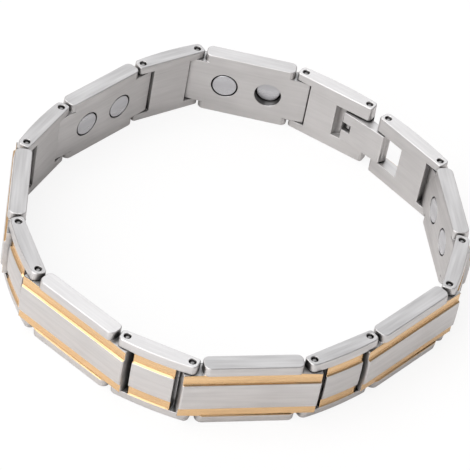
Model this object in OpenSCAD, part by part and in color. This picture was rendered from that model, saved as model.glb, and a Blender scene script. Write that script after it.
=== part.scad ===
// Magnetic link bracelet, shut and lying on its edge.
// Millimetres. +Z is up, across the band. The origin is on the surface, under the middle of the loop.

/* [Band] */
// Height of the band, from edge to edge
band_w = 11.3; // [10.5:0.1:14]
// Distance from the hinge line to the flat inner face
inner_t = 1.05; // [0.9:0.05:1.2]
// How far the middle of the outer face stands beyond its edges
dome_h = 0.35; // [0.15:0.05:0.8]
// Width of the small slope along the inner edges
edge_ease = 0.15; // [0.05:0.01:0.4]

/* [Links] */
// Hinge-to-hinge length of a long link
long_pitch = 18; // [15:0.1:22]
// Hinge-to-hinge length of a short link
short_pitch = 10.2; // [8:0.1:14]
// Hinge-to-hinge length of each of the two clasp links
clasp_pitch = 11.9; // [11.5:0.1:15]
// Distance from the hinge line to a long link's outer edge
long_outer_t = 1.62; // [1.4:0.01:2]
// Distance from the hinge line to the middle of a short link's outer edge
short_outer_t = 1.42; // [1.3:0.01:1.8]
// How far a short link's outer edge bows between its ends
short_crown = 0.36; // [0.2:0.01:0.5]
// How far the rails of a long link stay back from each hinge
rail_back = 1.6; // [1.56:0.01:2]
// How far the body of a short link stays back from each hinge
body_back = 1.75; // [1.7:0.05:2.4]
// How far a long link's tongue reaches past the hinge
tongue_reach = 1.3; // [0.9:0.05:1.35]
// How far a short link's ear reaches past the hinge
ear_reach = 1.05; // [0.9:0.05:1.1]
// Gap between a tongue and the ears above and below it
ear_gap = 0.1; // [0.05:0.01:0.2]

/* [Stripes] */
// Width of the steel shoulder outside each gold stripe, which is also the height of an ear
shoulder_w = 1.4; // [1.2:0.05:1.8]
// Width of a gold stripe, from edge to edge
stripe_w = 1.82; // [1.4:0.01:2.4]
// Depth of a gold stripe below the face
stripe_depth = 0.3; // [0.2:0.02:0.5]
// Width of each sloping side of a gold stripe
stripe_slope = 0.12; // [0.05:0.01:0.5]

/* [Hinge pins] */
// Diameter of a hinge pin
pin_d = 1.0; // [0.8:0.05:1.1]
// Gap all round a pin in its hole
pin_gap = 0.05; // [0.03:0.01:0.08]
// How far the ends of a pin lie below the edges of the band
pin_sunk = 0.25; // [0.1:0.05:0.5]

/* [Magnets] */
// Diameter of a magnet
magnet_d = 4.0; // [3:0.1:5]
// Thickness of a magnet
magnet_t = 1.8; // [1.5:0.1:1.9]
// Gap all round a magnet in its seat
magnet_gap = 0.2; // [0.05:0.01:0.3]
// Distance between the two magnets of a long link
magnet_pitch = 7.2; // [6:0.1:9]
// How deep the face of the thin magnet lies in its seat
magnet_sunk = 1.1; // [0.2:0.05:1.2]

/* [Clasp] */
// Distance between the lever's hinge and the pin that it hooks on
clasp_gap = 4.2; // [3.8:0.1:5.5]
// Height of the lever, across the band
lever_h = 5.6; // [4.6:0.1:6]
// How far the lever reaches past the pin that it hooks on
lever_tail = 3.0; // [2.9:0.1:3.6]
// Distance from the hinge line to the lever's inner face, at its hinge
lever_inner_t = 1.35; // [1.2:0.05:1.6]
// How much farther in the lever's inner face lies at its free end
lever_rise = 0.8; // [0.4:0.05:1]
// Thickness of the lever's free end
lever_tip_t = 1.45; // [1:0.05:1.6]
// Gap between the lever and the hinge link's slot, above and below
lever_gap = 0.15; // [0.08:0.01:0.3]
// Gap between the lever and the catch link's slot, above and below
catch_gap = 0.3; // [0.1:0.01:0.4]
// Length of the hinge link's slot from the lever's hinge
slot_len = 4.8; // [4:0.1:5.2]
// Thickness of the catch link's outer wall where it is thinnest, under a stripe
catch_wall = 0.12; // [0.08:0.01:0.18]
// Width of the hollow that lets a fingernail reach the lever
scoop_w = 1.5; // [1:0.1:2]
// Side of the square window near the lever's free end
window_w = 1.6; // [1:0.1:1.9]
// Depth of that window
window_depth = 0.9; // [0.5:0.1:1.1]

/* [Hidden] */
steel_colour = "gainsboro";
gold_colour = "goldenrod";
pin_colour = "darkgray";
magnet_colour = "silver";
far = 40;                       // longer than any cut needs
ring_fn = 360;                  // for the wide, shallow curves
bore_fn = 48;
corner_steps = 6;
mid_z = band_w / 2;
pin_r = pin_d / 2;
bore_r = pin_r + pin_gap;

// The outer face is part of a wide cylinder that lies along the link.
dome_r = (mid_z * mid_z + dome_h * dome_h) / (2 * dome_h);
function dome_rise(z) = sqrt(dome_r * dome_r - (z - mid_z) * (z - mid_z)) - dome_r + dome_h;

// A tongue fills the height between two ears.
tongue_low = shoulder_w + ear_gap;
stripe_mid = shoulder_w + stripe_w / 2;
stripe_rise = dome_rise(stripe_mid);

// Corner radii seen from above.
rail_inner_r = 0.9;
rail_outer_r = 1.0;
tongue_inner_r = 0.3;
tongue_outer_r = 0.3;
ear_inner_r = 0.5;
ear_outer_r = 0.7;
plan_over = 0.05;               // how far a plan stands outside the outer face

// The lever.
barrel_r = pin_r + 0.6;
plate_back = 0.85;
hook_r = pin_r + 0.2;
hook_half = hook_r + 0.2;
lever_len = clasp_gap + lever_tail;
lever_low = (band_w - lever_h) / 2;
lever_outer_t = pin_r - 0.1;
catch_depth = short_outer_t - short_crown + stripe_rise - stripe_depth - catch_wall;
window_x = clasp_gap + 1.3;
tab_w = window_w * 0.4;
tab_sunk = window_depth * 0.45;
tip_gap = 0.6;
scoop_back = 0.3;
scoop_rise = 0.6;

// The loop: one row for each step from hinge to hinge, anticlockwise seen from above.
// A row is what spans the step, and its heading in degrees.
PLAN = [
    ["short", -14], ["long", 17.5], ["short", 43], ["long", 53.5],
    ["short", 83.5], ["long", 105.5], ["hinge", 139.5], ["lever", 142],
    ["catch", 156.5], ["long", 178.5], ["short", 219], ["long", 233.5],
    ["short", 249], ["long", 277], ["short", 297.5], ["long", 326.5]
];
steps = len(PLAN);
function span(kind) =
    kind == "long" ? long_pitch :
    kind == "short" ? short_pitch :
    kind == "lever" ? clasp_gap : clasp_pitch;
lengths = [for (row = PLAN) span(row[0])];
function along(a) = [cos(a), sin(a)];
function across(a) = [-sin(a), cos(a)];
function total(v, i = 0) = i == len(v) - 1 ? v[i] : v[i] + total(v, i + 1);

// The headings are eased by the least turns that shut the loop exactly.
function miss(h) = total([for (i = [0:steps - 1]) lengths[i] * along(h[i])]);
function eased(h) =
    let (
        g = [for (i = [0:steps - 1]) lengths[i] * across(h[i])],
        a = total([for (v = g) v.x * v.x]),
        b = total([for (v = g) v.x * v.y]),
        c = total([for (v = g) v.y * v.y]),
        m = miss(h),
        k = [c * m.x - b * m.y, a * m.y - b * m.x] / (a * c - b * b)
    )
    [for (i = [0:steps - 1]) h[i] - (g[i] * k) * 180 / PI];
function shut(h, n) = n == 0 ? h : shut(eased(h), n - 1);
headings = shut([for (row = PLAN) row[1]], 5);
loop_pins = [
    for (i = 0, p = [0, 0]; i < steps; p = p + lengths[i] * along(headings[i]), i = i + 1) p
];

// The loop's outline, from each step's widest points, puts its middle over the origin.
function outer_t(kind) = kind == "long" ? long_outer_t : short_outer_t;
function reach(kind) = kind == "long" ? tongue_reach : ear_reach;
outline = [
    for (i = [0:steps - 1], x = [-reach(PLAN[i][0]), lengths[i] / 2, lengths[i] + reach(PLAN[i][0])])
        let (bow = PLAN[i][0] == "long" || x == lengths[i] / 2 ? 0 : short_crown)
        loop_pins[i] + x * along(headings[i])
            - (outer_t(PLAN[i][0]) + dome_h - bow) * across(headings[i])
];
function middle(v) = (min(v) + max(v)) / 2;
centre = [middle([for (p = outline) p.x]), middle([for (p = outline) p.y])];

// Which step each numbered link takes, and its first pin.
long_steps = [for (i = [0:steps - 1]) if (PLAN[i][0] == "long") i];
short_steps = [for (i = [0:steps - 1]) if (PLAN[i][0] == "short") i];
hinge_step = [for (i = [0:steps - 1]) if (PLAN[i][0] == "hinge") i][0];
lever_step = (hinge_step + 1) % steps;
catch_step = (hinge_step + 2) % steps;
plain_pins = [for (i = [0:steps - 1]) if (i != lever_step && i != catch_step) i];
magnet_count = 2 * len(long_steps);
thin_magnet = 7;

// Corner q of a polygon, between p and s, as an arc of radius r.
function corner(p, q, s, r) =
    let (
        a = (p - q) / norm(p - q),
        b = (s - q) / norm(s - q),
        half = acos(a * b) / 2,
        mid = q + (a + b) / norm(a + b) * r / sin(half),
        from = q + a * r / tan(half) - mid,
        side = sign(cross(q - p, s - q)),
        start = atan2(from.y, from.x),
        sweep = side * (180 - 2 * half)
    )
    [for (k = [0:corner_steps]) mid + r * along(start + sweep * k / corner_steps)];
function rounded(points, radii) = [
    for (i = [0:len(points) - 1])
        each corner(
            points[(i + len(points) - 1) % len(points)], points[i],
            points[(i + 1) % len(points)], radii[i]
        )
];
// A box seen from above, with one radius on its outer corners and one on its inner corners.
function plan_box(x0, x1, y_out, y_in, r_out, r_in) =
    rounded([[x0, -y_out], [x1, -y_out], [x1, y_in], [x0, y_in]], [r_out, r_out, r_in, r_in]);

// Places a link whose first hinge is at its own origin, with +X towards its second hinge
// and +Y towards the wrist.
module at_step(i) {
    translate([loop_pins[i].x - centre.x, loop_pins[i].y - centre.y, 0])
        rotate([0, 0, headings[i]]) children();
}

// Draws an outline of [y, z] points along X.
module run(x0, x1) {
    translate([x0, 0, 0]) rotate([90, 0, 90]) linear_extrude(x1 - x0) children();
}

// The flat inner face, with its two edges eased.
module inner_side(x0, x1) {
    run(x0, x1) polygon([
        [-far, 0], [inner_t - edge_ease, 0], [inner_t, edge_ease],
        [inner_t, band_w - edge_ease], [inner_t - edge_ease, band_w], [-far, band_w]
    ]);
}

// The outline of a stripe's cut: distance from the face's edge line, and height.
// An open cut has no wall on its outer side.
function stripe_cut(open) = [
    [stripe_rise - stripe_depth, open ? 0 : shoulder_w + stripe_slope],
    [stripe_rise - stripe_depth, shoulder_w + stripe_w - stripe_slope],
    [stripe_rise + stripe_depth, shoulder_w + stripe_w + stripe_slope],
    [stripe_rise + stripe_depth, open ? 0 : shoulder_w - stripe_slope]
];
module both_edges() {
    children();
    translate([0, 0, band_w]) mirror([0, 0, 1]) children();
}

// Straight stripes of a long link. On the tongues they are open at the edge.
module long_stripes() {
    both_edges() {
        run(-far, long_pitch + far)
            polygon([for (p = stripe_cut(false)) [-long_outer_t - p[0], p[1]]]);
        for (x = [[-far, rail_back], [long_pitch - rail_back, long_pitch + far]])
            run(x[0], x[1])
                polygon([for (p = stripe_cut(true)) [-long_outer_t - p[0], p[1]]]);
    }
}

module pin_holes(xs) {
    for (x = xs)
        translate([x, 0, -1]) cylinder(r = bore_r, h = band_w + 2, $fn = bore_fn);
}

module magnet_seats() {
    for (side = [-1, 1])
        translate([(long_pitch + side * magnet_pitch) / 2, inner_t - magnet_t, mid_z])
            rotate([-90, 0, 0])
                cylinder(r = magnet_d / 2 + magnet_gap, h = far, $fn = bore_fn);
}

module long_link() {
    color(steel_colour)
        difference() {
            intersection() {
                inner_side(-far, long_pitch + far);
                translate([-far, dome_r - long_outer_t - dome_h, mid_z]) rotate([0, 90, 0])
                    cylinder(r = dome_r, h = long_pitch + 2 * far, $fn = ring_fn);
                union() {
                    linear_extrude(band_w)
                        polygon(plan_box(
                            rail_back, long_pitch - rail_back, long_outer_t + stripe_rise, inner_t,
                            rail_outer_r, rail_inner_r
                        ));
                    translate([0, 0, tongue_low]) linear_extrude(band_w - 2 * tongue_low)
                        polygon(plan_box(
                            -tongue_reach, long_pitch + tongue_reach,
                            long_outer_t + dome_h + plan_over, inner_t,
                            tongue_outer_r, tongue_inner_r
                        ));
                }
            }
            color(gold_colour) long_stripes();
            pin_holes([0, long_pitch]);
            magnet_seats();
        }
}

// A short link's bowed block with its stripes, before its ends are cut.
module bowed_block(pitch) {
    half = pitch / 2 + ear_reach;
    bow_r = (half * half + short_crown * short_crown) / (2 * short_crown);
    profile = [for (i = [0:8]) let (z = band_w * i / 8) [bow_r + dome_rise(z), z]];
    ear_t = short_outer_t - short_crown + dome_rise(shoulder_w) + plan_over;
    difference() {
        intersection() {
            inner_side(-far, pitch + far);
            linear_extrude(band_w)
                polygon(rounded(
                    [
                        [-ear_reach, -ear_t], [pitch / 2, -ear_t - 2.5 * short_crown],
                        [pitch + ear_reach, -ear_t], [pitch + ear_reach, inner_t],
                        [-ear_reach, inner_t]
                    ],
                    [ear_outer_r, ear_outer_r, ear_outer_r, ear_inner_r, ear_inner_r]
                ));
            translate([pitch / 2, bow_r - short_outer_t, 0])
                rotate_extrude($fn = ring_fn)
                    polygon(concat([[bow_r - 6, 0]], profile, [[bow_r - 6, band_w]]));
        }
        color(gold_colour)
            translate([pitch / 2, bow_r - short_outer_t, 0])
                both_edges()
                    rotate_extrude($fn = ring_fn)
                        polygon([for (p = stripe_cut(false)) [bow_r + p[0], p[1]]]);
        pin_holes([0, pitch]);
    }
}

// The space between two ears, where a tongue lies.
module tongue_space(x0, x1) {
    translate([x0, -far, shoulder_w]) cube([x1 - x0, 2 * far, band_w - 2 * shoulder_w]);
}

module short_link() {
    color(steel_colour)
        difference() {
            bowed_block(short_pitch);
            tongue_space(-far, body_back);
            tongue_space(short_pitch - body_back, short_pitch + far);
        }
}

// The clasp link that carries the lever. Its slot goes right through.
module hinge_link() {
    slot_h = lever_h + 2 * lever_gap;
    color(steel_colour)
        difference() {
            bowed_block(clasp_pitch);
            tongue_space(-far, body_back);
            translate([clasp_pitch - slot_len, -far, (band_w - slot_h) / 2])
                cube([far, 2 * far, slot_h]);
        }
}

// The clasp link that the lever hooks on. Its slot is open to the wrist only.
module catch_link() {
    slot_h = lever_h + 2 * catch_gap;
    slot_end = lever_tail + tip_gap;
    scoop_r = norm([scoop_w + scoop_back, scoop_rise]);
    color(steel_colour)
        difference() {
            bowed_block(clasp_pitch);
            tongue_space(clasp_pitch - body_back, clasp_pitch + far);
            translate([-far, -catch_depth, (band_w - slot_h) / 2])
                cube([far + slot_end, far, slot_h]);
            translate([slot_end - scoop_back, inner_t + scoop_rise, (band_w - slot_h) / 2])
                cylinder(r = scoop_r, h = slot_h, $fn = bore_fn);
        }
}

// The lever, with its hinge at the origin and the pin that it hooks on along +X.
module clasp_lever() {
    function inner_at(x) = lever_inner_t + lever_rise * x / lever_len;
    color(steel_colour)
        difference() {
            translate([0, 0, lever_low]) linear_extrude(lever_h)
                union() {
                    polygon(rounded(
                        [
                            [-plate_back, inner_at(-plate_back)], [-plate_back, 0],
                            [0, -lever_outer_t], [clasp_gap + hook_half, -lever_outer_t],
                            [lever_len, inner_at(lever_len) - lever_tip_t],
                            [lever_len, inner_at(lever_len)]
                        ],
                        [0.2, 0.05, 0.05, 0.3, 0.5, 0.2]
                    ));
                    circle(r = barrel_r, $fn = bore_fn);
                }
            translate([0, 0, -1]) cylinder(r = bore_r, h = band_w + 2, $fn = bore_fn);
            translate([clasp_gap, 0, -1]) cylinder(r = hook_r, h = band_w + 2, $fn = bore_fn);
            translate([clasp_gap - hook_r, -far, -1]) cube([2 * hook_r, far, band_w + 2]);
            difference() {
                translate([window_x, inner_at(window_x) - window_depth, mid_z - window_w / 2])
                    cube([window_w, far, window_w]);
                translate([window_x + (window_w - tab_w) / 2, 0, mid_z - window_w / 4])
                    cube([tab_w, inner_at(window_x) - tab_sunk, window_w]);
            }
        }
}

module hinge_pin() {
    color(pin_colour)
        translate([0, 0, pin_sunk]) cylinder(r = pin_r, h = band_w - 2 * pin_sunk, $fn = bore_fn);
}

// A magnet, numbered round the loop, in its own long link's frame.
module magnet(n) {
    side = n % 2 == 1 ? -1 : 1;
    seat_gap = 0.02;
    sunk = n == thin_magnet ? magnet_sunk : seat_gap;
    color(magnet_colour)
        translate([
            (long_pitch + side * magnet_pitch) / 2, inner_t - magnet_t + seat_gap, mid_z
        ])
            rotate([-90, 0, 0])
                cylinder(r = magnet_d / 2, h = magnet_t - seat_gap - sunk, $fn = bore_fn);
}

for (i = [1:len(long_steps)])
    at_step(long_steps[i - 1]) long_link();
for (i = [1:len(short_steps)])
    at_step(short_steps[i - 1]) short_link();
at_step(hinge_step) hinge_link();
at_step(catch_step) catch_link();
at_step(lever_step) clasp_lever();
at_step(lever_step) hinge_pin();  // lever_pin
at_step(catch_step) hinge_pin();  // catch_pin
for (i = [1:len(plain_pins)])
    at_step(plain_pins[i - 1]) hinge_pin();
for (i = [1:magnet_count])
    at_step(long_steps[ceil(i / 2) - 1]) magnet(i);
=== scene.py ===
"""A magnetic link bracelet, lying closed on its edge on a pale floor."""

import math

import bpy
from bpy.props import FloatProperty, FloatVectorProperty, PointerProperty
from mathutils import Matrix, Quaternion, Vector


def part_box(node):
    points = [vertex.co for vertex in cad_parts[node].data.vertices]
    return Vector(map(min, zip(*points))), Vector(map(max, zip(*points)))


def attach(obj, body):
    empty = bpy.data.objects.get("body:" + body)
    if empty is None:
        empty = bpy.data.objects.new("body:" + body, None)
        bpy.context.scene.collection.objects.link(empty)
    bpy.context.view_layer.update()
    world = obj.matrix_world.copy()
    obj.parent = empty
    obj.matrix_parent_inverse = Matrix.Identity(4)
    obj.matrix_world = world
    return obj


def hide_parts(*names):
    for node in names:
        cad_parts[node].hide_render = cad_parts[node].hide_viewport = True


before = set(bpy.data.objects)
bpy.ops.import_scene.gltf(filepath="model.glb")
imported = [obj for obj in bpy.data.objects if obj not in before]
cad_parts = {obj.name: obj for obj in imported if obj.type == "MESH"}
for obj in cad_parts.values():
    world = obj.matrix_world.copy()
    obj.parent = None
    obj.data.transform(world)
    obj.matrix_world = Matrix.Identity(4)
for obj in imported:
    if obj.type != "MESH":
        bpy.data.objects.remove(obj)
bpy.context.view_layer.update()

bl_info = {
    "name": "Magnetic Link Bracelet",
    "version": (1, 0, 0),
    "blender": (4, 5, 0),
    "location": "3D View > Sidebar > Bracelet",
    "description": "Builds a steel link bracelet with gold stripes, magnets and a fold-over clasp",
    "category": "Add Mesh",
}

MM = 0.001
# Places closer than this are taken for the same place: in a cut, in a mesh, and on an edge.
FINE = 1e-7
CLOSE = 2e-6
HAIR = 0.02 * MM
# Edges sharper than this are rounded, and faces that meet flatter than this are joined.
SHARP = math.radians(50)
FLAT = math.radians(0.15)

# The hinge pins in order round the band, anticlockwise seen from above.
HINGES = (
    [f"link_pin_{n}" for n in range(1, 8)]
    + ["lever_pin", "catch_pin"]
    + [f"link_pin_{n}" for n in range(8, 15)]
)
# The hinge at which each long and each short link starts.
LONG_STARTS = [1, 3, 5, 9, 11, 13, 15]
SHORT_STARTS = [0, 2, 4, 10, 12, 14]
HINGE_LINK_START, LEVER_START, CATCH_LINK_START = 6, 7, 8
THIN_MAGNET = 7

# Rounds of the upright corners in plan, on the outer side and on the wrist's side.
TONGUE_ROUNDS = (0.3 * MM, 0.3 * MM)
RAIL_ROUNDS = (1.0 * MM, 0.9 * MM)
EAR_ROUNDS = (0.7 * MM, 0.5 * MM)
CORNER_STEPS = 8
# The polished ends of the pins and of the magnets.
PIN_ROUND = 0.34 * MM
MAGNET_ROUND = 0.16 * MM
# Room under a magnet, and over a flush one.
MAGNET_PLAY = 0.02 * MM
# How much less a stripe's rim is rounded than the band's outer edges.
RIM_SHARE = 0.7
# How much a rail reaches past its stripe's foot, so that it joins the panel.
RAIL_LAP = 0.04 * MM

# The clasp's slots: their length, the room round the lever, and the steel left at the bottom.
SLOT_LENGTH = 4.8 * MM
LEVER_GAP = 0.15 * MM
CATCH_GAP = 0.3 * MM
TIP_ROOM = 0.6 * MM
CATCH_WALL = 0.12 * MM
# The nail scoop at the slot's end: how far its middle stands back, its rise and its width.
SCOOP_BACK, SCOOP_RISE, SCOOP_WIDTH = 0.3 * MM, 0.6 * MM, 1.5 * MM
# The lever's inner face at its hinge, how far it rises to its tip, and the tip's thickness.
LEVER_FACE, LEVER_RISE, LEVER_TIP = 1.35 * MM, 0.8 * MM, 1.45 * MM
LEVER_BACK = 0.85 * MM
BARREL_WALL = 0.6 * MM
HOOK_ROOM = 0.2 * MM
NOSE_ROUND, LIP_ROUND = 0.5 * MM, 0.2 * MM
# The small square window in the lever, and how far it stands past the catch pin.
WINDOW_SIDE, WINDOW_DEPTH, WINDOW_PLACE = 1.6 * MM, 0.9 * MM, 1.3 * MM

# Farther out than any part of a link reaches.
FAR = 9 * MM


def sized(name, description, millimetres):
    return FloatProperty(
        name=name,
        description=description,
        default=millimetres * MM,
        unit="LENGTH",
        precision=5,
    )


def coloured(name, description, value):
    return FloatVectorProperty(
        name=name,
        description=description,
        default=value,
        subtype="COLOR",
        min=0.0,
        max=1.0,
    )


class BraceletSizes(bpy.types.PropertyGroup):
    """Sizes of the bracelet's pieces"""

    band_width: sized("Band width", "Width of the band, edge to edge", 11.3)
    inner_depth: sized(
        "Inner depth", "From the hinge line in to the face that touches the wrist", 1.05
    )
    dome_height: sized("Dome height", "How far the outer face rises between its two edges", 0.35)
    long_depth: sized(
        "Long link depth", "From the hinge line out to the edges of a long link's outer face", 1.62
    )
    short_depth: sized(
        "Short link depth",
        "From the hinge line out to the middle of a short link's outer face",
        1.42,
    )
    short_crown: sized(
        "Short link crown", "How far a short link's outer face falls away towards its ends", 0.36
    )
    tongue_reach: sized("Tongue reach", "How far a tongue runs past its hinge", 1.3)
    ear_reach: sized("Ear reach", "How far an ear runs past its hinge", 1.05)
    ear_gap: sized("Ear gap", "Room between an ear and a tongue", 0.1)
    rail_back: sized("Rail back", "How far a long link's rails stop short of its hinges", 1.6)
    body_back: sized("Body back", "How far a short link's body stops short of its hinges", 1.75)
    shoulder: sized("Shoulder", "Width of the plain steel border beside a stripe", 1.4)
    stripe_width: sized("Stripe width", "Width of a gold stripe", 1.82)
    stripe_depth: sized("Stripe depth", "How far a gold stripe lies below the outer face", 0.3)
    stripe_slope: sized("Stripe slope", "How far a stripe's walls lean", 0.12)
    pin_radius: sized("Pin radius", "Radius of a hinge pin", 0.5)
    pin_gap: sized("Pin gap", "Room round a hinge pin", 0.05)
    pin_sunk: sized("Pin sunk", "How far a pin's ends lie below the band's edges", 0.25)
    magnet_radius: sized("Magnet radius", "Radius of a magnet", 2.0)
    magnet_depth: sized("Magnet depth", "Depth of a magnet's seat", 1.8)
    magnet_gap: sized("Magnet gap", "Room round a magnet", 0.2)
    magnet_pitch: sized("Magnet pitch", "Between the middles of a link's two magnets", 7.2)
    magnet_sunk: sized(
        "Thin magnet", "How deep the face of the thin magnet lies in its seat", 1.1
    )
    lever_height: sized("Lever height", "Width of the clasp lever, across the band", 5.6)
    lever_tail: sized("Lever tail", "How far the lever runs past the pin that it hooks on", 3.0)
    edge_round: sized("Edge round", "Width of the polished round along every edge", 0.09)
    rim_round: sized(
        "Rim round",
        "Radius of the wider round along a stripe and along the band's outer edges",
        0.16,
    )


class BraceletFinish(bpy.types.PropertyGroup):
    """Colours of the bracelet's metals"""

    steel: coloured("Steel", "Colour of the brushed steel", (0.63, 0.615, 0.61))
    gold: coloured("Gold", "Colour of the plated stripes", (0.82, 0.56, 0.31))
    magnet: coloured("Magnet", "Colour of the magnets' nickel", (0.53, 0.53, 0.55))


# Modelling by hand.


def deselect_all():
    if bpy.context.object and bpy.context.object.mode != "OBJECT":
        bpy.ops.object.mode_set(mode="OBJECT")
    bpy.ops.object.select_all(action="DESELECT")


def activate(piece):
    deselect_all()
    piece.select_set(True)
    bpy.context.view_layer.objects.active = piece


def add_block(name, low, high):
    deselect_all()
    low, high = Vector(low), Vector(high)
    bpy.ops.mesh.primitive_cube_add(size=1, location=(low + high) / 2, scale=high - low)
    bpy.ops.object.transform_apply(location=True, rotation=True, scale=True)
    piece = bpy.context.object
    piece.name = piece.data.name = name
    return piece


def add_rod(name, foot, radius, length, sides=48, across=False):
    """A cylinder that stands on its foot, or with across lies along Y from it."""
    deselect_all()
    foot = Vector(foot)
    way = Vector((0, 1, 0)) if across else Vector((0, 0, 1))
    bpy.ops.mesh.primitive_cylinder_add(
        vertices=sides,
        radius=radius,
        depth=length,
        location=foot + way * length / 2,
        rotation=(-math.pi / 2 if across else 0, 0, 0),
    )
    bpy.ops.object.transform_apply(location=True, rotation=True, scale=True)
    piece = bpy.context.object
    piece.name = piece.data.name = name
    return piece


def near(a, b):
    return abs(a - b) < CLOSE


def pick(piece, kind, test):
    """Selects the points, edges or faces of a piece that pass a test of their place."""
    activate(piece)
    bpy.ops.object.mode_set(mode="EDIT")
    bpy.ops.mesh.select_mode(type=kind)
    bpy.ops.mesh.select_all(action="DESELECT")
    bpy.ops.object.mode_set(mode="OBJECT")
    mesh = piece.data
    if kind == "VERT":
        for point in mesh.vertices:
            point.select = test(point.co)
    elif kind == "EDGE":
        for edge in mesh.edges:
            a, b = (mesh.vertices[i].co for i in edge.vertices)
            edge.select = test(a, b)
    else:
        for face in mesh.polygons:
            face.select = test(face.center, face.normal)
    bpy.ops.object.mode_set(mode="EDIT")


def shift(piece, test, offset):
    pick(piece, "VERT", test)
    bpy.ops.transform.translate(value=offset)
    bpy.ops.object.mode_set(mode="OBJECT")


def slice_at(piece, axis, places):
    activate(piece)
    bpy.ops.object.mode_set(mode="EDIT")
    for place in places:
        spot, way = Vector(), Vector()
        spot[axis], way[axis] = place, 1
        bpy.ops.mesh.select_all(action="SELECT")
        bpy.ops.mesh.bisect(plane_co=spot, plane_no=way, threshold=FINE)
    bpy.ops.object.mode_set(mode="OBJECT")


def round_edges(piece, test, radius, segments):
    pick(piece, "EDGE", test)
    bpy.ops.mesh.bevel(
        offset=radius, segments=segments, affect="EDGES", clamp_overlap=False
    )
    bpy.ops.object.mode_set(mode="OBJECT")


def combine(piece, tool, operation):
    """Joins the tool to the piece, or cuts it away, and clears the tool."""
    activate(piece)
    joiner = piece.modifiers.new("combine", "BOOLEAN")
    joiner.operation = operation
    joiner.solver = "EXACT"
    joiner.object = tool
    bpy.ops.object.modifier_apply(modifier=joiner.name)
    bpy.data.objects.remove(tool)


def trim(piece, spot, way):
    """Saws off what lies beyond a plane, and closes the cut."""
    activate(piece)
    bpy.ops.object.mode_set(mode="EDIT")
    bpy.ops.mesh.select_all(action="SELECT")
    bpy.ops.mesh.bisect(
        plane_co=spot, plane_no=way, use_fill=True, clear_outer=True, threshold=FINE
    )
    bpy.ops.object.mode_set(mode="OBJECT")


def turn_over(piece, width):
    """Mirrors a piece from one edge of the band to the other."""
    activate(piece)
    bpy.ops.object.mode_set(mode="EDIT")
    bpy.ops.mesh.select_all(action="SELECT")
    bpy.ops.transform.resize(value=(1, 1, -1), center_override=(0, 0, width / 2))
    bpy.ops.mesh.normals_make_consistent(inside=False)
    bpy.ops.object.mode_set(mode="OBJECT")


def round_uprights(piece, ends, inner_y, rounds):
    """Rounds the upright corners at both ends of a block, outer ones and inner ones apart."""
    for end in ends:

        def upright(a, b):
            return near(a.x, end) and near(b.x, end) and abs(a.z - b.z) > FINE

        def outer(a, b):
            return upright(a, b) and a.y < 0 and b.y < 0

        def inner(a, b):
            return upright(a, b) and near(a.y, inner_y) and near(b.y, inner_y)

        round_edges(piece, outer, rounds[0], CORNER_STEPS)
        round_edges(piece, inner, rounds[1], CORNER_STEPS)


def round_flat_side(s, piece, z):
    """Rounds the outline of a link's flat upper or lower side."""
    pick(piece, "FACE", lambda centre, normal: near(centre.z, z) and abs(normal.z) > 0.9)
    bpy.ops.mesh.dissolve_faces()
    bpy.ops.mesh.region_to_loop()
    bpy.ops.mesh.bevel(
        offset=s.rim_round, segments=4, affect="EDGES", clamp_overlap=False
    )
    bpy.ops.object.mode_set(mode="OBJECT")


def tidy_mesh(piece):
    activate(piece)
    bpy.ops.object.mode_set(mode="EDIT")
    bpy.ops.mesh.select_all(action="SELECT")
    bpy.ops.mesh.remove_doubles(threshold=CLOSE)
    bpy.ops.mesh.dissolve_limited(angle_limit=FLAT)
    bpy.ops.mesh.normals_make_consistent(inside=False)
    bpy.ops.object.mode_set(mode="OBJECT")


def polish_edges(piece, width, segments=2):
    """Rounds every edge that is left sharp, and shades the faces between them flat."""
    activate(piece)
    bevel = piece.modifiers.new("edge round", "BEVEL")
    bevel.width = width
    bevel.segments = segments
    bevel.limit_method = "ANGLE"
    bevel.angle_limit = SHARP
    bevel.use_clamp_overlap = False
    bpy.ops.object.modifier_apply(modifier=bevel.name)
    bpy.ops.object.mode_set(mode="EDIT")
    bpy.ops.mesh.select_all(action="SELECT")
    bpy.ops.mesh.remove_doubles(threshold=CLOSE / 2)
    bpy.ops.object.mode_set(mode="OBJECT")
    bpy.ops.object.shade_smooth_by_angle(angle=SHARP)
    weigh = piece.modifiers.new("face weight", "WEIGHTED_NORMAL")
    weigh.keep_sharp = True
    weigh.weight = 80
    bpy.ops.object.modifier_apply(modifier=weigh.name)


def keep_grain_place(piece):
    """Stores each point's place in the link's own frame, so that the brushing follows the link."""
    grain = piece.data.attributes.new("grain_place", "FLOAT_VECTOR", "POINT")
    for i, point in enumerate(piece.data.vertices):
        grain.data[i].vector = point.co


def lay_brushing(piece):
    """Lays a UV map whose U runs the way each face is brushed: along the link, or up its ends."""
    brushing = piece.data.uv_layers.new(name="brushing")
    points = piece.data.vertices
    for face in piece.data.polygons:
        on_end = abs(face.normal.x) > 0.8
        lying = abs(face.normal.z) > 0.6
        for corner in face.loop_indices:
            p = points[piece.data.loops[corner].vertex_index].co / MM
            along, across = (p.z, p.y) if on_end else (p.x, p.y if lying else p.z)
            brushing.data[corner].uv = (along, across)


def paint_faces(piece, slot, test):
    for face in piece.data.polygons:
        if test(face.center, face.normal):
            face.material_index = slot


def copy_to(piece, name, place, angle):
    """A copy with its own mesh, turned and moved, with its place in its mesh."""
    activate(piece)
    bpy.ops.object.duplicate(linked=False)
    made = bpy.context.object
    made.name = made.data.name = name
    made.location = place
    made.rotation_euler = (0, 0, angle)
    bpy.ops.object.transform_apply(location=True, rotation=True, scale=True)
    return made


# Where things are.


def hinge_place(number):
    low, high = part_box(HINGES[number % len(HINGES)])
    return Vector(((low.x + high.x) / 2, (low.y + high.y) / 2, 0))


def hinge_heading(number):
    way = hinge_place(number + 1) - hinge_place(number)
    return math.atan2(way.y, way.x)


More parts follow.
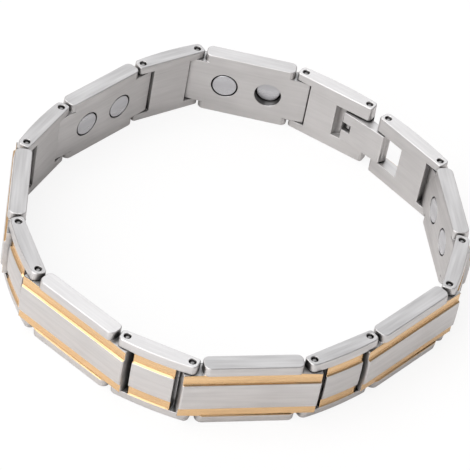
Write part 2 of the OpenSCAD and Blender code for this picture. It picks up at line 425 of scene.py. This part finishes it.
def hinge_span(number):
    return (hinge_place(number + 1) - hinge_place(number)).length


def put_link(model, start, name, body="band"):
    made = copy_to(model, name, hinge_place(start), hinge_heading(start))
    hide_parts(name)
    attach(made, body)
    return made


# The outer face's section.


def dome_rise(s, z):
    mid = s.band_width / 2
    radius = (mid * mid + s.dome_height**2) / (2 * s.dome_height)
    return math.sqrt(radius**2 - (z - mid) ** 2) - radius + s.dome_height


def stripe_floor(s):
    return dome_rise(s, s.shoulder + s.stripe_width / 2) - s.stripe_depth


def stripe_rims(s):
    """The heights at which a stripe's two walls meet the face."""
    lean = s.stripe_slope / s.stripe_depth
    low_foot, high_foot = s.shoulder + s.stripe_slope, s.shoulder + s.stripe_width - s.stripe_slope
    low, high = low_foot, high_foot
    for _ in range(8):
        low = low_foot - (dome_rise(s, low) - stripe_floor(s)) * lean
        high = high_foot + (dome_rise(s, high) - stripe_floor(s)) * lean
    return low, low_foot, high_foot, high


def dome_rows(s, low, high, count):
    """Rows of points up the plain outer face: height, and how far out the face stands there."""
    heights = [low + (high - low) * k / count for k in range(count + 1)]
    return [(z, dome_rise(s, z)) for z in heights]


def cut_stripes(s, piece, x_places, floor_y, sag=lambda x: 0, open_below=False):
    """Mills the two stripes into an outer face, each with a flat floor and leaning walls."""
    _, low_foot, high_foot, _ = stripe_rims(s)
    out = 3 * MM
    lean = out * s.stripe_slope / s.stripe_depth
    foot = -MM if open_below else low_foot
    for upper in (False, True):
        mill = add_block(
            "mill", (x_places[0], floor_y - out, foot), (x_places[-1], floor_y, high_foot)
        )
        slice_at(mill, 0, x_places[1:-1])
        shift(mill, lambda p: near(p.y, floor_y - out) and near(p.z, high_foot), (0, 0, lean))
        if not open_below:
            shift(mill, lambda p: near(p.y, floor_y - out) and near(p.z, foot), (0, 0, -lean))
        for x in x_places:
            shift(mill, lambda p: near(p.x, x), (0, sag(x), 0))
        if upper:
            turn_over(mill, s.band_width)
        combine(piece, mill, "DIFFERENCE")


def round_rims(s, piece, face_y):
    """Rounds the two long edges where the stripes meet the middle of the face."""
    high = stripe_rims(s)[3]
    width = s.band_width

    def on_rim(p):
        return abs(min(p.z, width - p.z) - high) < HAIR and p.y < face_y

    def along_rim(a, b):
        return on_rim(a) and on_rim(b) and abs(a.z - b.z) < HAIR

    tidy_mesh(piece)
    round_edges(piece, along_rim, RIM_SHARE * s.rim_round, 3)


def shape_face(piece, face_y, rows):
    """Slices a block at each row, and moves the row's outer points to the face."""
    slice_at(piece, 2, [z for z, _ in rows])
    for z, rise in rows:
        shift(piece, lambda p: near(p.y, face_y) and near(p.z, z), (0, -rise, 0))


# Metals.

# Most of a noise's values lie in this span, which is spread over nought to one.
NOISE_SPAN = (0.3, 0.7)
# How deep the brushing lines are.
LINE_DEPTH = 0.01 * MM
# Painted shade darkens the metal in gaps: how far off the walls count, how closed a gap is
# darkest, and how dark.
GAP_REACH, GAP_CLOSED, GAP_PAINTED_SHADE = 1.2 * MM, 0.05, 0.1
# The floor isn't a gap: up to this height, metal counts as this much more open, so it gets less
# painted shade.
FLOOR_REACH, FLOOR_LIFT = 1.5 * MM, 0.45


def calculate(tree, operation, *values):
    """A Math node's result, from numbers and from other nodes' outputs."""
    node = tree.nodes.new("ShaderNodeMath")
    node.operation = operation
    for socket, value in zip(node.inputs, values):
        if isinstance(value, bpy.types.NodeSocket):
            tree.links.new(value, socket)
        else:
            socket.default_value = value
    return node.outputs[0]


def remap(tree, value, old_span, new_span=(0.0, 1.0), curve="LINEAR"):
    """A Map Range node's result."""
    node = tree.nodes.new("ShaderNodeMapRange")
    node.interpolation_type = curve
    node.inputs["From Min"].default_value, node.inputs["From Max"].default_value = old_span
    node.inputs["To Min"].default_value, node.inputs["To Max"].default_value = new_span
    tree.links.new(value, node.inputs["Value"])
    return node.outputs[0]


def mix_tones(tree, share, first, second):
    """A colour between two others."""
    node = tree.nodes.new("ShaderNodeMix")
    node.data_type = "RGBA"
    node.inputs["A"].default_value = (*first, 1)
    node.inputs["B"].default_value = (*second, 1)
    tree.links.new(share, node.inputs["Factor"])
    return node.outputs["Result"]


def brushed_grain():
    """Fine lines along a link, with broader soft streaks and a faint cloudiness."""
    name = "Brushed Grain"
    if name in bpy.data.node_groups:
        return bpy.data.node_groups[name]
    group = bpy.data.node_groups.new(name, "ShaderNodeTree")
    face = group.interface
    face.new_socket("Place", in_out="INPUT", socket_type="NodeSocketVector")
    for label, value in (("Line Scale", 1.0), ("Roughness", 0.3), ("Roughness Change", 0.1)):
        face.new_socket(label, in_out="INPUT", socket_type="NodeSocketFloat").default_value = value
    for label in ("Lines", "Streaks", "Clouds", "Roughness"):
        face.new_socket(label, in_out="OUTPUT", socket_type="NodeSocketFloat")
    nodes, links = group.nodes, group.links
    start, end = nodes.new("NodeGroupInput"), nodes.new("NodeGroupOutput")

    def noise(stretch, scale, detail):
        warp = nodes.new("ShaderNodeVectorMath")
        warp.operation = "MULTIPLY"
        warp.inputs[1].default_value = stretch
        links.new(start.outputs["Place"], warp.inputs[0])
        size = nodes.new("ShaderNodeVectorMath")
        size.operation = "SCALE"
        links.new(warp.outputs[0], size.inputs[0])
        links.new(start.outputs["Line Scale"], size.inputs["Scale"])
        texture = nodes.new("ShaderNodeTexNoise")
        texture.inputs["Scale"].default_value = scale
        texture.inputs["Detail"].default_value = detail
        links.new(size.outputs[0], texture.inputs["Vector"])
        return texture.outputs[0]

    lines = noise((0.035, 1.0, 1.0), 9000.0, 3.0)
    streaks = remap(group, noise((0.06, 1.0, 1.0), 2200.0, 3.0), NOISE_SPAN)
    clouds = remap(group, noise((0.5, 1.0, 1.0), 300.0, 2.0), NOISE_SPAN)
    swing = calculate(group, "SUBTRACT", calculate(group, "ADD", lines, streaks), 1.0)
    change, middle = start.outputs["Roughness Change"], start.outputs["Roughness"]
    links.new(lines, end.inputs["Lines"])
    links.new(streaks, end.inputs["Streaks"])
    links.new(clouds, end.inputs["Clouds"])
    links.new(calculate(group, "MULTIPLY_ADD", swing, change, middle), end.inputs["Roughness"])
    return group


def painted_gap_shade(tree, place, open_at):
    """Painted shade for gaps: how much of a face's colour is kept, all of it where it stands as
    open as open_at.
    """
    room = tree.nodes.new("ShaderNodeAmbientOcclusion")
    room.samples = 8
    room.inputs["Distance"].default_value = GAP_REACH
    height = tree.nodes.new("ShaderNodeSeparateXYZ")
    tree.links.new(place, height.inputs[0])
    lift = remap(tree, height.outputs["Z"], (0.0, FLOOR_REACH), (FLOOR_LIFT, 0.0))
    openness = calculate(tree, "ADD", room.outputs["AO"], lift)
    return remap(tree, openness, (GAP_CLOSED, open_at), (GAP_PAINTED_SHADE, 1.0), "SMOOTHSTEP")


def metal(
    name, tone, rough, rough_change, tint, bump, line_scale=1.0, uneven=0.35, open_at=0.85
):
    """A brushed metal that drifts to the tint along its streaks, with painted shade that darkens
    it deep in gaps.
    """
    if name in bpy.data.materials:
        return bpy.data.materials[name]
    made = bpy.data.materials.new(name)
    made.use_nodes = True
    tree = made.node_tree
    nodes, links = tree.nodes, tree.links
    place = nodes.new("ShaderNodeAttribute")
    place.attribute_name = "grain_place"
    grain = nodes.new("ShaderNodeGroup")
    grain.node_tree = brushed_grain()
    grain.inputs["Line Scale"].default_value = line_scale
    grain.inputs["Roughness"].default_value = rough
    grain.inputs["Roughness Change"].default_value = rough_change
    links.new(place.outputs["Vector"], grain.inputs["Place"])

    cloud = calculate(tree, "MULTIPLY", grain.outputs["Clouds"], uneven)
    drift = calculate(tree, "MULTIPLY_ADD", grain.outputs["Streaks"], 1 - uneven, cloud)
    # The colour is scaled down by painted shade deep in gaps.
    shade = nodes.new("ShaderNodeVectorMath")
    shade.operation = "SCALE"
    links.new(mix_tones(tree, drift, tone, tint), shade.inputs[0])
    links.new(painted_gap_shade(tree, place.outputs["Vector"], open_at), shade.inputs["Scale"])

    relief = nodes.new("ShaderNodeBump")
    relief.inputs["Strength"].default_value = bump
    relief.inputs["Distance"].default_value = LINE_DEPTH
    links.new(grain.outputs["Lines"], relief.inputs["Height"])
    way = nodes.new("ShaderNodeTangent")
    way.direction_type = "UV_MAP"
    way.uv_map = "brushing"

    shader = nodes["Principled BSDF"]
    shader.inputs["Metallic"].default_value = 1.0
    shader.inputs["Anisotropic"].default_value = 0.85
    shader.inputs["Anisotropic Rotation"].default_value = 0.25
    links.new(shade.outputs[0], shader.inputs["Base Color"])
    links.new(grain.outputs["Roughness"], shader.inputs["Roughness"])
    links.new(relief.outputs[0], shader.inputs["Normal"])
    links.new(way.outputs[0], shader.inputs["Tangent"])
    return made


def darker(tone, share):
    return tuple(c * share for c in tone)


def steel_metal(f):
    return metal("Brushed Steel", f.steel, 0.36, 0.12, darker(f.steel, 0.86), 0.12)


def inner_shade_metal(f):
    """The steel of the faces that touch the wrist, made darker: painted shade."""
    tone, tint = darker(f.steel, 0.9), darker(f.steel, 0.78)
    return metal("Inner Steel Painted Shade", tone, 0.4, 0.12, tint, 0.12, uneven=0.6)


def seat_shade_metal(f):
    """The rough steel of the magnets' drilled seats, painted dark as the shade inside them."""
    tone, tint = darker(f.steel, 0.42), darker(f.steel, 0.3)
    return metal("Seat Steel Painted Shade", tone, 0.4, 0.12, tint, 0.1)


def gold_metal(f):
    return metal("Gold Plating", f.gold, 0.26, 0.08, darker(f.gold, 0.82), 0.15, open_at=0.45)


# The pins' steel is half as bright as the band: painted shade of their sunk ends in the holes.
def pin_shade_metal(f):
    tone, tint = darker(f.steel, 0.5), darker(f.steel, 0.35)
    return metal("Turned Pin Steel Painted Shade", tone, 0.3, 0.1, tint, 0.2)


def magnet_metal(f):
    return metal("Nickel Magnet", f.magnet, 0.3, 0.1, darker(f.magnet, 0.85), 0.1, 0.6)


def dress(piece, *metals):
    piece.data.materials.clear()
    for each in metals:
        piece.data.materials.append(each)


def finish_link(s, f, piece, floor_y):
    """Gives a link its metals, the place of its grain and the way it is brushed."""
    dress(piece, steel_metal(f), gold_metal(f), inner_shade_metal(f))
    gild_stripes(s, piece, floor_y)
    # The faces that touch the wrist get the darker steel: painted shade.
    inner_y = s.inner_depth - 0.05 * MM
    paint_faces(piece, 2, lambda centre, normal: normal.y > 0.9 and centre.y > inner_y)
    keep_grain_place(piece)
    lay_brushing(piece)


def gild_stripes(s, piece, floor_y):
    """Paints the stripes, their walls and the rounds along them gold, where they face outwards."""
    low, _, _, high = stripe_rims(s)
    rim = high + HAIR
    width = s.band_width

    def in_stripe(centre, normal):
        height = min(centre.z, width - centre.z)
        outwards = normal.y < -0.2 and abs(normal.x) < 0.5
        return low < height < rim and centre.y < floor_y and outwards

    paint_faces(piece, 1, in_stripe)


# The pieces.


def drill_pin_holes(s, piece, pitch):
    for x in (0, pitch):
        hole = add_rod("hole", (x, 0, -MM), s.pin_radius + s.pin_gap, s.band_width + 2 * MM, 32)
        combine(piece, hole, "DIFFERENCE")


def make_long_link(s, f):
    """A long link at its own hinge, with the rails joined to the panel and its tongues."""
    pitch, width = hinge_span(LONG_STARTS[0]), s.band_width
    face_y, inner_y = -s.long_depth, s.inner_depth
    low_foot = stripe_rims(s)[1]
    floor = stripe_floor(s)
    tongue_low = s.shoulder + s.ear_gap

    ends = (-s.tongue_reach, pitch + s.tongue_reach)
    panel = add_block(
        "long link model", (ends[0], face_y, tongue_low), (ends[1], inner_y, width - tongue_low)
    )
    shape_face(panel, face_y, dome_rows(s, tongue_low, width - tongue_low, 8))
    round_uprights(panel, ends, inner_y, TONGUE_ROUNDS)
    cut_stripes(s, panel, (ends[0] - MM, ends[1] + MM), face_y - floor, open_below=True)
    round_rims(s, panel, face_y)

    back = s.rail_back
    lean = s.stripe_slope / s.stripe_depth
    rail_top = low_foot + RAIL_LAP * lean
    rails = []
    for upper in (False, True):
        rail = add_block("rail", (back, face_y, 0), (pitch - back, inner_y, rail_top))
        shape_face(rail, face_y, dome_rows(s, 0, rail_top, 3))
        round_uprights(rail, (back, pitch - back), inner_y, RAIL_ROUNDS)
        round_flat_side(s, rail, 0)
        trim(rail, (0, face_y - floor, low_foot), (0, -lean, 1))
        if upper:
            turn_over(rail, width)
        rails.append(rail)
    for rail in rails:
        combine(panel, rail, "UNION")
    drill_pin_holes(s, panel, pitch)
    for side in (-1, 1):
        seat = add_rod(
            "seat",
            ((pitch + side * s.magnet_pitch) / 2, inner_y - s.magnet_depth, width / 2),
            s.magnet_radius + s.magnet_gap,
            4 * MM,
            64,
            across=True,
        )
        combine(panel, seat, "DIFFERENCE")
    tidy_mesh(panel)
    polish_edges(panel, s.edge_round)
    finish_link(s, f, panel, face_y - floor + 0.3 * MM)
    # The walls of the magnets' seats get the dark steel: painted shade.
    panel.data.materials.append(seat_shade_metal(f))
    wall = s.magnet_radius + s.magnet_gap + HAIR

    def in_seat(centre, normal):
        off = min(abs(centre.x - (pitch + side * s.magnet_pitch) / 2) for side in (-1, 1))
        return math.hypot(off, centre.z - width / 2) < wall and abs(normal.y) < 0.3

    paint_faces(panel, 3, in_seat)
    return panel


def make_bowed_block(s, name, pitch):
    """A short link's block before its ends are cut: its outer face bows along it and across it."""
    width = s.band_width
    face_y, inner_y = -s.short_depth, s.inner_depth
    ends = (-s.ear_reach, pitch + s.ear_reach)
    half = pitch / 2 + s.ear_reach
    bow = (half * half + s.short_crown**2) / (2 * s.short_crown)
    block = add_block(name, (ends[0], face_y, 0), (ends[1], inner_y, width))
    steps = [ends[0] + (ends[1] - ends[0]) * k / 10 for k in range(1, 10)]
    slice_at(block, 0, steps)
    shape_face(block, face_y, dome_rows(s, 0, width, 12))

    def sag(x):
        return bow - math.sqrt(bow * bow - (x - pitch / 2) ** 2)

    for x in (ends[0], *steps, ends[1]):
        shift(block, lambda p: near(p.x, x) and p.y < 0, (0, sag(x), 0))
    round_uprights(block, ends, inner_y, EAR_ROUNDS)
    round_flat_side(s, block, 0)
    round_flat_side(s, block, width)
    places = (ends[0] - 0.5 * MM, *steps, ends[1] + 0.5 * MM)
    cut_stripes(s, block, places, face_y - stripe_floor(s), sag)
    drill_pin_holes(s, block, pitch)
    return block


def clear_for_tongue(s, block, x0, x1):
    """Cuts the room between two ears right through the band."""
    space = add_block("space", (x0, -FAR, s.shoulder), (x1, FAR, s.band_width - s.shoulder))
    combine(block, space, "DIFFERENCE")


def finish_bowed(s, f, block):
    """Rounds and dresses a short link once its ends are cut."""
    round_rims(s, block, -s.short_depth + s.short_crown)
    polish_edges(block, s.edge_round)
    finish_link(s, f, block, -s.short_depth + s.short_crown + 0.4 * MM)
    return block


class BRACELET_OT_long_links(bpy.types.Operator):
    """Builds the seven long links with their stripes, tongues and magnet seats"""

    bl_idname = "bracelet.long_links"
    bl_label = "Long Links"

    def execute(self, context):
        s, f = context.scene.bracelet_sizes, context.scene.bracelet_finish
        model = make_long_link(s, f)
        for number, start in enumerate(LONG_STARTS, 1):
            put_link(model, start, f"long_link_{number}")
        bpy.data.objects.remove(model)
        return {"FINISHED"}


class BRACELET_OT_short_links(bpy.types.Operator):
    """Builds the six short links with their ears"""

    bl_idname = "bracelet.short_links"
    bl_label = "Short Links"

    def execute(self, context):
        s, f = context.scene.bracelet_sizes, context.scene.bracelet_finish
        pitch = hinge_span(SHORT_STARTS[0])
        model = make_bowed_block(s, "short link model", pitch)
        clear_for_tongue(s, model, -FAR, s.body_back)
        clear_for_tongue(s, model, pitch - s.body_back, pitch + FAR)
        finish_bowed(s, f, model)
        for number, start in enumerate(SHORT_STARTS, 1):
            put_link(model, start, f"short_link_{number}")
        bpy.data.objects.remove(model)
        return {"FINISHED"}


class BRACELET_OT_clasp_links(bpy.types.Operator):
    """Builds the link that carries the lever and the link that it hooks on"""

    bl_idname = "bracelet.clasp_links"
    bl_label = "Clasp Links"

    def execute(self, context):
        s, f = context.scene.bracelet_sizes, context.scene.bracelet_finish
        mid = s.band_width / 2
        pitch = hinge_span(HINGE_LINK_START)
        carrier = make_bowed_block(s, "hinge link model", pitch)
        clear_for_tongue(s, carrier, -FAR, s.body_back)
        half = s.lever_height / 2 + LEVER_GAP
        slot = add_block(
            "slot", (pitch - SLOT_LENGTH, -FAR, mid - half), (pitch + FAR, FAR, mid + half)
        )
        combine(carrier, slot, "DIFFERENCE")
        finish_bowed(s, f, carrier)
        put_link(carrier, HINGE_LINK_START, "hinge_link")
        bpy.data.objects.remove(carrier)

        catch = make_bowed_block(s, "catch link model", pitch)
        clear_for_tongue(s, catch, pitch - s.body_back, pitch + FAR)
        half = s.lever_height / 2 + CATCH_GAP
        end = s.lever_tail + TIP_ROOM
        depth = s.short_depth - s.short_crown + stripe_floor(s) - CATCH_WALL
        slot = add_block("slot", (-FAR, -depth, mid - half), (end, FAR, mid + half))
        combine(catch, slot, "DIFFERENCE")
        scoop = add_rod(
            "scoop",
            (end - SCOOP_BACK, s.inner_depth + SCOOP_RISE, mid - half),
            math.hypot(SCOOP_WIDTH + SCOOP_BACK, SCOOP_RISE),
            2 * half,
            64,
        )
        combine(catch, scoop, "DIFFERENCE")
        finish_bowed(s, f, catch)
        put_link(catch, CATCH_LINK_START, "catch_link")
        bpy.data.objects.remove(catch)
        return {"FINISHED"}


class BRACELET_OT_lever(bpy.types.Operator):
    """Builds the fold-over lever with its barrel, hook groove and small square window"""

    bl_idname = "bracelet.lever"
    bl_label = "Clasp Lever"

    def execute(self, context):
        s, f = context.scene.bracelet_sizes, context.scene.bracelet_finish
        mid = s.band_width / 2
        gap = hinge_span(LEVER_START)
        reach = gap + s.lever_tail
        hook = s.pin_radius + HOOK_ROOM
        low, high = mid - s.lever_height / 2, mid + s.lever_height / 2

        def inner(x):
            return LEVER_FACE + LEVER_RISE * x / reach

        back, foot, knee = -LEVER_BACK, -(s.pin_radius - 0.1 * MM), gap + hook + 0.2 * MM
        plate = add_block("lever model", (back, foot, low), (reach, inner(reach), high))
        slice_at(plate, 0, [0, knee])
        for x in (back, 0, knee):
            shift(plate, lambda p: near(p.x, x) and p.y > 0, (0, inner(x) - inner(reach), 0))
        shift(plate, lambda p: near(p.x, back) and p.y < 0, (0, -foot, 0))
        drop = inner(reach) - LEVER_TIP - foot
        shift(plate, lambda p: near(p.x, reach) and p.y < 0, (0, drop, 0))

        def upright(a, b, x):
            return near(a.x, x) and near(b.x, x) and near(a.y, b.y)

        def nose(a, b):
            return upright(a, b, reach) and a.y < inner(reach) - MM

        def lip(a, b):
            return upright(a, b, reach) and near(a.y, inner(reach))

        def heel(a, b):
            return upright(a, b, back) and a.y > 0.5 * MM

        round_edges(plate, nose, NOSE_ROUND, 6)
        round_edges(plate, lip, LIP_ROUND, 5)
        round_edges(plate, heel, LIP_ROUND, 5)
        barrel = add_rod("barrel", (0, 0, low), s.pin_radius + BARREL_WALL, high - low)
        combine(plate, barrel, "UNION")
        through = s.band_width + 2 * MM
        bore = add_rod("bore", (0, 0, -MM), s.pin_radius + s.pin_gap, through, 32)
        combine(plate, bore, "DIFFERENCE")
        groove = add_block("groove", (gap - hook, -FAR, -MM), (gap + hook, 0, s.band_width + MM))
        combine(plate, groove, "DIFFERENCE")
        crest = add_rod("crest", (gap, 0, -MM), hook, through)
        combine(plate, crest, "DIFFERENCE")
        side = WINDOW_SIDE
        x0 = gap + WINDOW_PLACE
        bed = inner(x0)
        window = add_block(
            "window",
            (x0, bed - WINDOW_DEPTH, mid - side / 2),
            (x0 + side, FAR, mid + side / 2),
        )
        tab = side * 0.4
        post = add_block(
            "post",
            (x0 + (side - tab) / 2, 0, mid - side / 4),
            (x0 + (side + tab) / 2, bed - WINDOW_DEPTH * 0.45, mid + side * 3 / 4),
        )
        combine(window, post, "DIFFERENCE")
        combine(plate, window, "DIFFERENCE")
        tidy_mesh(plate)
        polish_edges(plate, s.edge_round)
        # The lever's inner face gets the darker steel: painted shade.
        dress(plate, steel_metal(f), inner_shade_metal(f))
        paint_faces(plate, 1, lambda centre, normal: normal.y > 0.9 and centre.y > 1.3 * MM)
        keep_grain_place(plate)
        lay_brushing(plate)
        put_link(plate, LEVER_START, "clasp_lever", body="lever")
        bpy.data.objects.remove(plate)
        return {"FINISHED"}


class BRACELET_OT_pins(bpy.types.Operator):
    """Builds the hinge pins with rounded ends"""

    bl_idname = "bracelet.pins"
    bl_label = "Hinge Pins"

    def execute(self, context):
        s, f = context.scene.bracelet_sizes, context.scene.bracelet_finish
        model = add_rod(
            "pin model", (0, 0, s.pin_sunk), s.pin_radius, s.band_width - 2 * s.pin_sunk, 32
        )
        polish_edges(model, PIN_ROUND, 5)
        dress(model, pin_shade_metal(f))
        keep_grain_place(model)
        lay_brushing(model)
        for number, name in enumerate(HINGES):
            put_link(model, number, name)
        bpy.data.objects.remove(model)
        return {"FINISHED"}


class BRACELET_OT_magnets(bpy.types.Operator):
    """Builds the round magnets, two in each long link"""

    bl_idname = "bracelet.magnets"
    bl_label = "Magnets"

    def execute(self, context):
        s, f = context.scene.bracelet_sizes, context.scene.bracelet_finish
        pitch = hinge_span(LONG_STARTS[0])
        play = MAGNET_PLAY
        for number in range(1, 2 * len(LONG_STARTS) + 1):
            side = -1 if number % 2 else 1
            sunk = s.magnet_sunk if number == THIN_MAGNET else play
            model = add_rod(
                "magnet model",
                (
                    (pitch + side * s.magnet_pitch) / 2,
                    s.inner_depth - s.magnet_depth + play,
                    s.band_width / 2,
                ),
                s.magnet_radius,
                s.magnet_depth - play - sunk,
                64,
                across=True,
            )
            polish_edges(model, MAGNET_ROUND, 4)
            dress(model, magnet_metal(f))
            keep_grain_place(model)
            lay_brushing(model)
            put_link(model, LONG_STARTS[(number - 1) // 2], f"magnet_{number}")
            bpy.data.objects.remove(model)
        return {"FINISHED"}


# The stage.

# The camera's place, what it looks at, how far it is rolled, and its lens.
CAMERA_PLACE = Vector((-0.085, -308.44, 289.31)) * MM
CAMERA_AIM = Vector((-0.085, -6.85, 11.3)) * MM
CAMERA_ROLL = math.radians(11.42)
CAMERA_LENS = 208.93
# How much of the paper's own shade the camera doesn't see.
PAPER_GLOW = 0.85


def add_softbox(name, place, aim, size, power, tone):
    lamp = bpy.data.lights.new(name, "AREA")
    lamp.shape = "RECTANGLE"
    lamp.size, lamp.size_y = size
    lamp.energy = power
    lamp.color = tone
    made = bpy.data.objects.new(name, lamp)
    bpy.context.scene.collection.objects.link(made)
    made.location = place
    made.rotation_mode = "QUATERNION"
    made.rotation_quaternion = (Vector(aim) - Vector(place)).to_track_quat("-Z", "Y")
    return made


def show_when_seen(tree, share, usual, seen, output):
    """Puts one shader in another's place where its share says that the camera sees it."""
    either = tree.nodes.new("ShaderNodeMixShader")
    tree.links.new(share, either.inputs[0])
    tree.links.new(usual.outputs[0], either.inputs[1])
    tree.links.new(seen.outputs[0], either.inputs[2])
    tree.links.new(either.outputs[0], tree.nodes[output].inputs["Surface"])


def white_paper():
    """The floor's paper. Seen straight, it is lit so evenly that hardly a shadow shows."""
    paper = bpy.data.materials.new("White Paper")
    paper.use_nodes = True
    tree = paper.node_tree
    nodes, links = tree.nodes, tree.links
    shader = nodes["Principled BSDF"]
    shader.inputs["Roughness"].default_value = 0.9
    shader.inputs["Specular IOR Level"].default_value = 0.1
    place = nodes.new("ShaderNodeTexCoord")
    mottle = nodes.new("ShaderNodeTexNoise")
    mottle.inputs["Scale"].default_value = 40
    links.new(place.outputs["Object"], mottle.inputs["Vector"])
    tone = mix_tones(tree, mottle.outputs[0], (0.93, 0.91, 0.895), (0.95, 0.93, 0.915))
    links.new(tone, shader.inputs["Base Color"])
    eye = nodes.new("ShaderNodeLightPath").outputs["Is Camera Ray"]
    share = calculate(tree, "MULTIPLY", eye, PAPER_GLOW)
    glow = nodes.new("ShaderNodeEmission")
    show_when_seen(tree, share, shader, glow, "Material Output")
    return paper


def studio_world():
    """Light from all round, brighter on one side and low down. The camera sees plain white."""
    world = bpy.data.worlds.new("Studio")
    world.use_nodes = True
    tree = world.node_tree
    nodes, links = tree.nodes, tree.links
    way = nodes.new("ShaderNodeTexCoord")
    lean = nodes.new("ShaderNodeVectorMath")
    lean.operation = "DOT_PRODUCT"
    lean.inputs[1].default_value = (0.3, 0.25, 1.0)
    links.new(way.outputs["Generated"], lean.inputs[0])
    share = remap(tree, lean.outputs["Value"], (-0.3, 1.0))
    tone = mix_tones(tree, share, (1.08, 1.05, 1.03), (0.23, 0.232, 0.24))
    room = nodes["Background"]
    links.new(tone, room.inputs["Color"])
    eye = nodes.new("ShaderNodeLightPath").outputs["Is Camera Ray"]
    show_when_seen(tree, eye, room, nodes.new("ShaderNodeBackground"), "World Output")
    return world


def add_camera():
    lens = bpy.data.cameras.new("Camera")
    lens.sensor_width = 36
    lens.lens = CAMERA_LENS
    lens.clip_start, lens.clip_end = 0.01, 20
    camera = bpy.data.objects.new("Camera", lens)
    bpy.context.scene.collection.objects.link(camera)
    camera.location = CAMERA_PLACE
    camera.rotation_mode = "QUATERNION"
    aimed = (CAMERA_AIM - CAMERA_PLACE).to_track_quat("-Z", "Y")
    camera.rotation_quaternion = aimed @ Quaternion((0, 0, 1), CAMERA_ROLL)
    return camera


class BRACELET_OT_stage(bpy.types.Operator):
    """Builds the pale floor, the soft studio light and the camera"""

    bl_idname = "bracelet.stage"
    bl_label = "Stage"

    def execute(self, context):
        scene = context.scene
        scene.camera = add_camera()

        deselect_all()
        bpy.ops.mesh.primitive_plane_add(size=6, location=(0, 0, 0))
        floor = context.object
        floor.name = "floor"
        floor.data.materials.append(white_paper())

        scene.world = studio_world()
        middle = (0, 0, 0)
        cool, warm = (0.98, 0.99, 1), (1, 0.99, 0.98)
        add_softbox("Back softbox", (0, 0.72, 0.68), middle, (0.75, 1.4), 3.3, (0.96, 0.98, 1))
        add_softbox("Key softbox", (-0.45, -0.26, 0.85), middle, (1.25, 1.25), 10, cool)
        add_softbox("Front softbox", (-0.4, -0.92, 0.22), middle, (1.2, 0.5), 1.8, warm)

        scene.view_settings.view_transform = "Standard"
        scene.view_settings.look = "None"
        scene.view_settings.exposure = 0.0
        return {"FINISHED"}


class BRACELET_PT_panel(bpy.types.Panel):
    """Lists the bracelet's pieces, sizes and colours"""

    bl_idname = "BRACELET_PT_panel"
    bl_label = "Bracelet"
    bl_space_type = "VIEW_3D"
    bl_region_type = "UI"
    bl_category = "Bracelet"

    def draw(self, context):
        column = self.layout.column()
        for each in OPERATORS:
            column.operator(each.bl_idname)
        for group in (context.scene.bracelet_sizes, context.scene.bracelet_finish):
            box = self.layout.box()
            for name in type(group).__annotations__:
                box.prop(group, name)


OPERATORS = (
    BRACELET_OT_stage,
    BRACELET_OT_long_links,
    BRACELET_OT_short_links,
    BRACELET_OT_clasp_links,
    BRACELET_OT_lever,
    BRACELET_OT_pins,
    BRACELET_OT_magnets,
)
CLASSES = (BraceletSizes, BraceletFinish, *OPERATORS, BRACELET_PT_panel)


def register():
    for each in CLASSES:
        bpy.utils.register_class(each)
    bpy.types.Scene.bracelet_sizes = PointerProperty(type=BraceletSizes)
    bpy.types.Scene.bracelet_finish = PointerProperty(type=BraceletFinish)


def unregister():
    del bpy.types.Scene.bracelet_finish
    del bpy.types.Scene.bracelet_sizes
    for each in reversed(CLASSES):
        bpy.utils.unregister_class(each)


def main():
    register()
    bpy.ops.bracelet.stage()
    bpy.ops.bracelet.long_links()
    bpy.ops.bracelet.short_links()
    bpy.ops.bracelet.clasp_links()
    bpy.ops.bracelet.lever()
    bpy.ops.bracelet.pins()
    bpy.ops.bracelet.magnets()


if __name__ == "__main__":
    main()
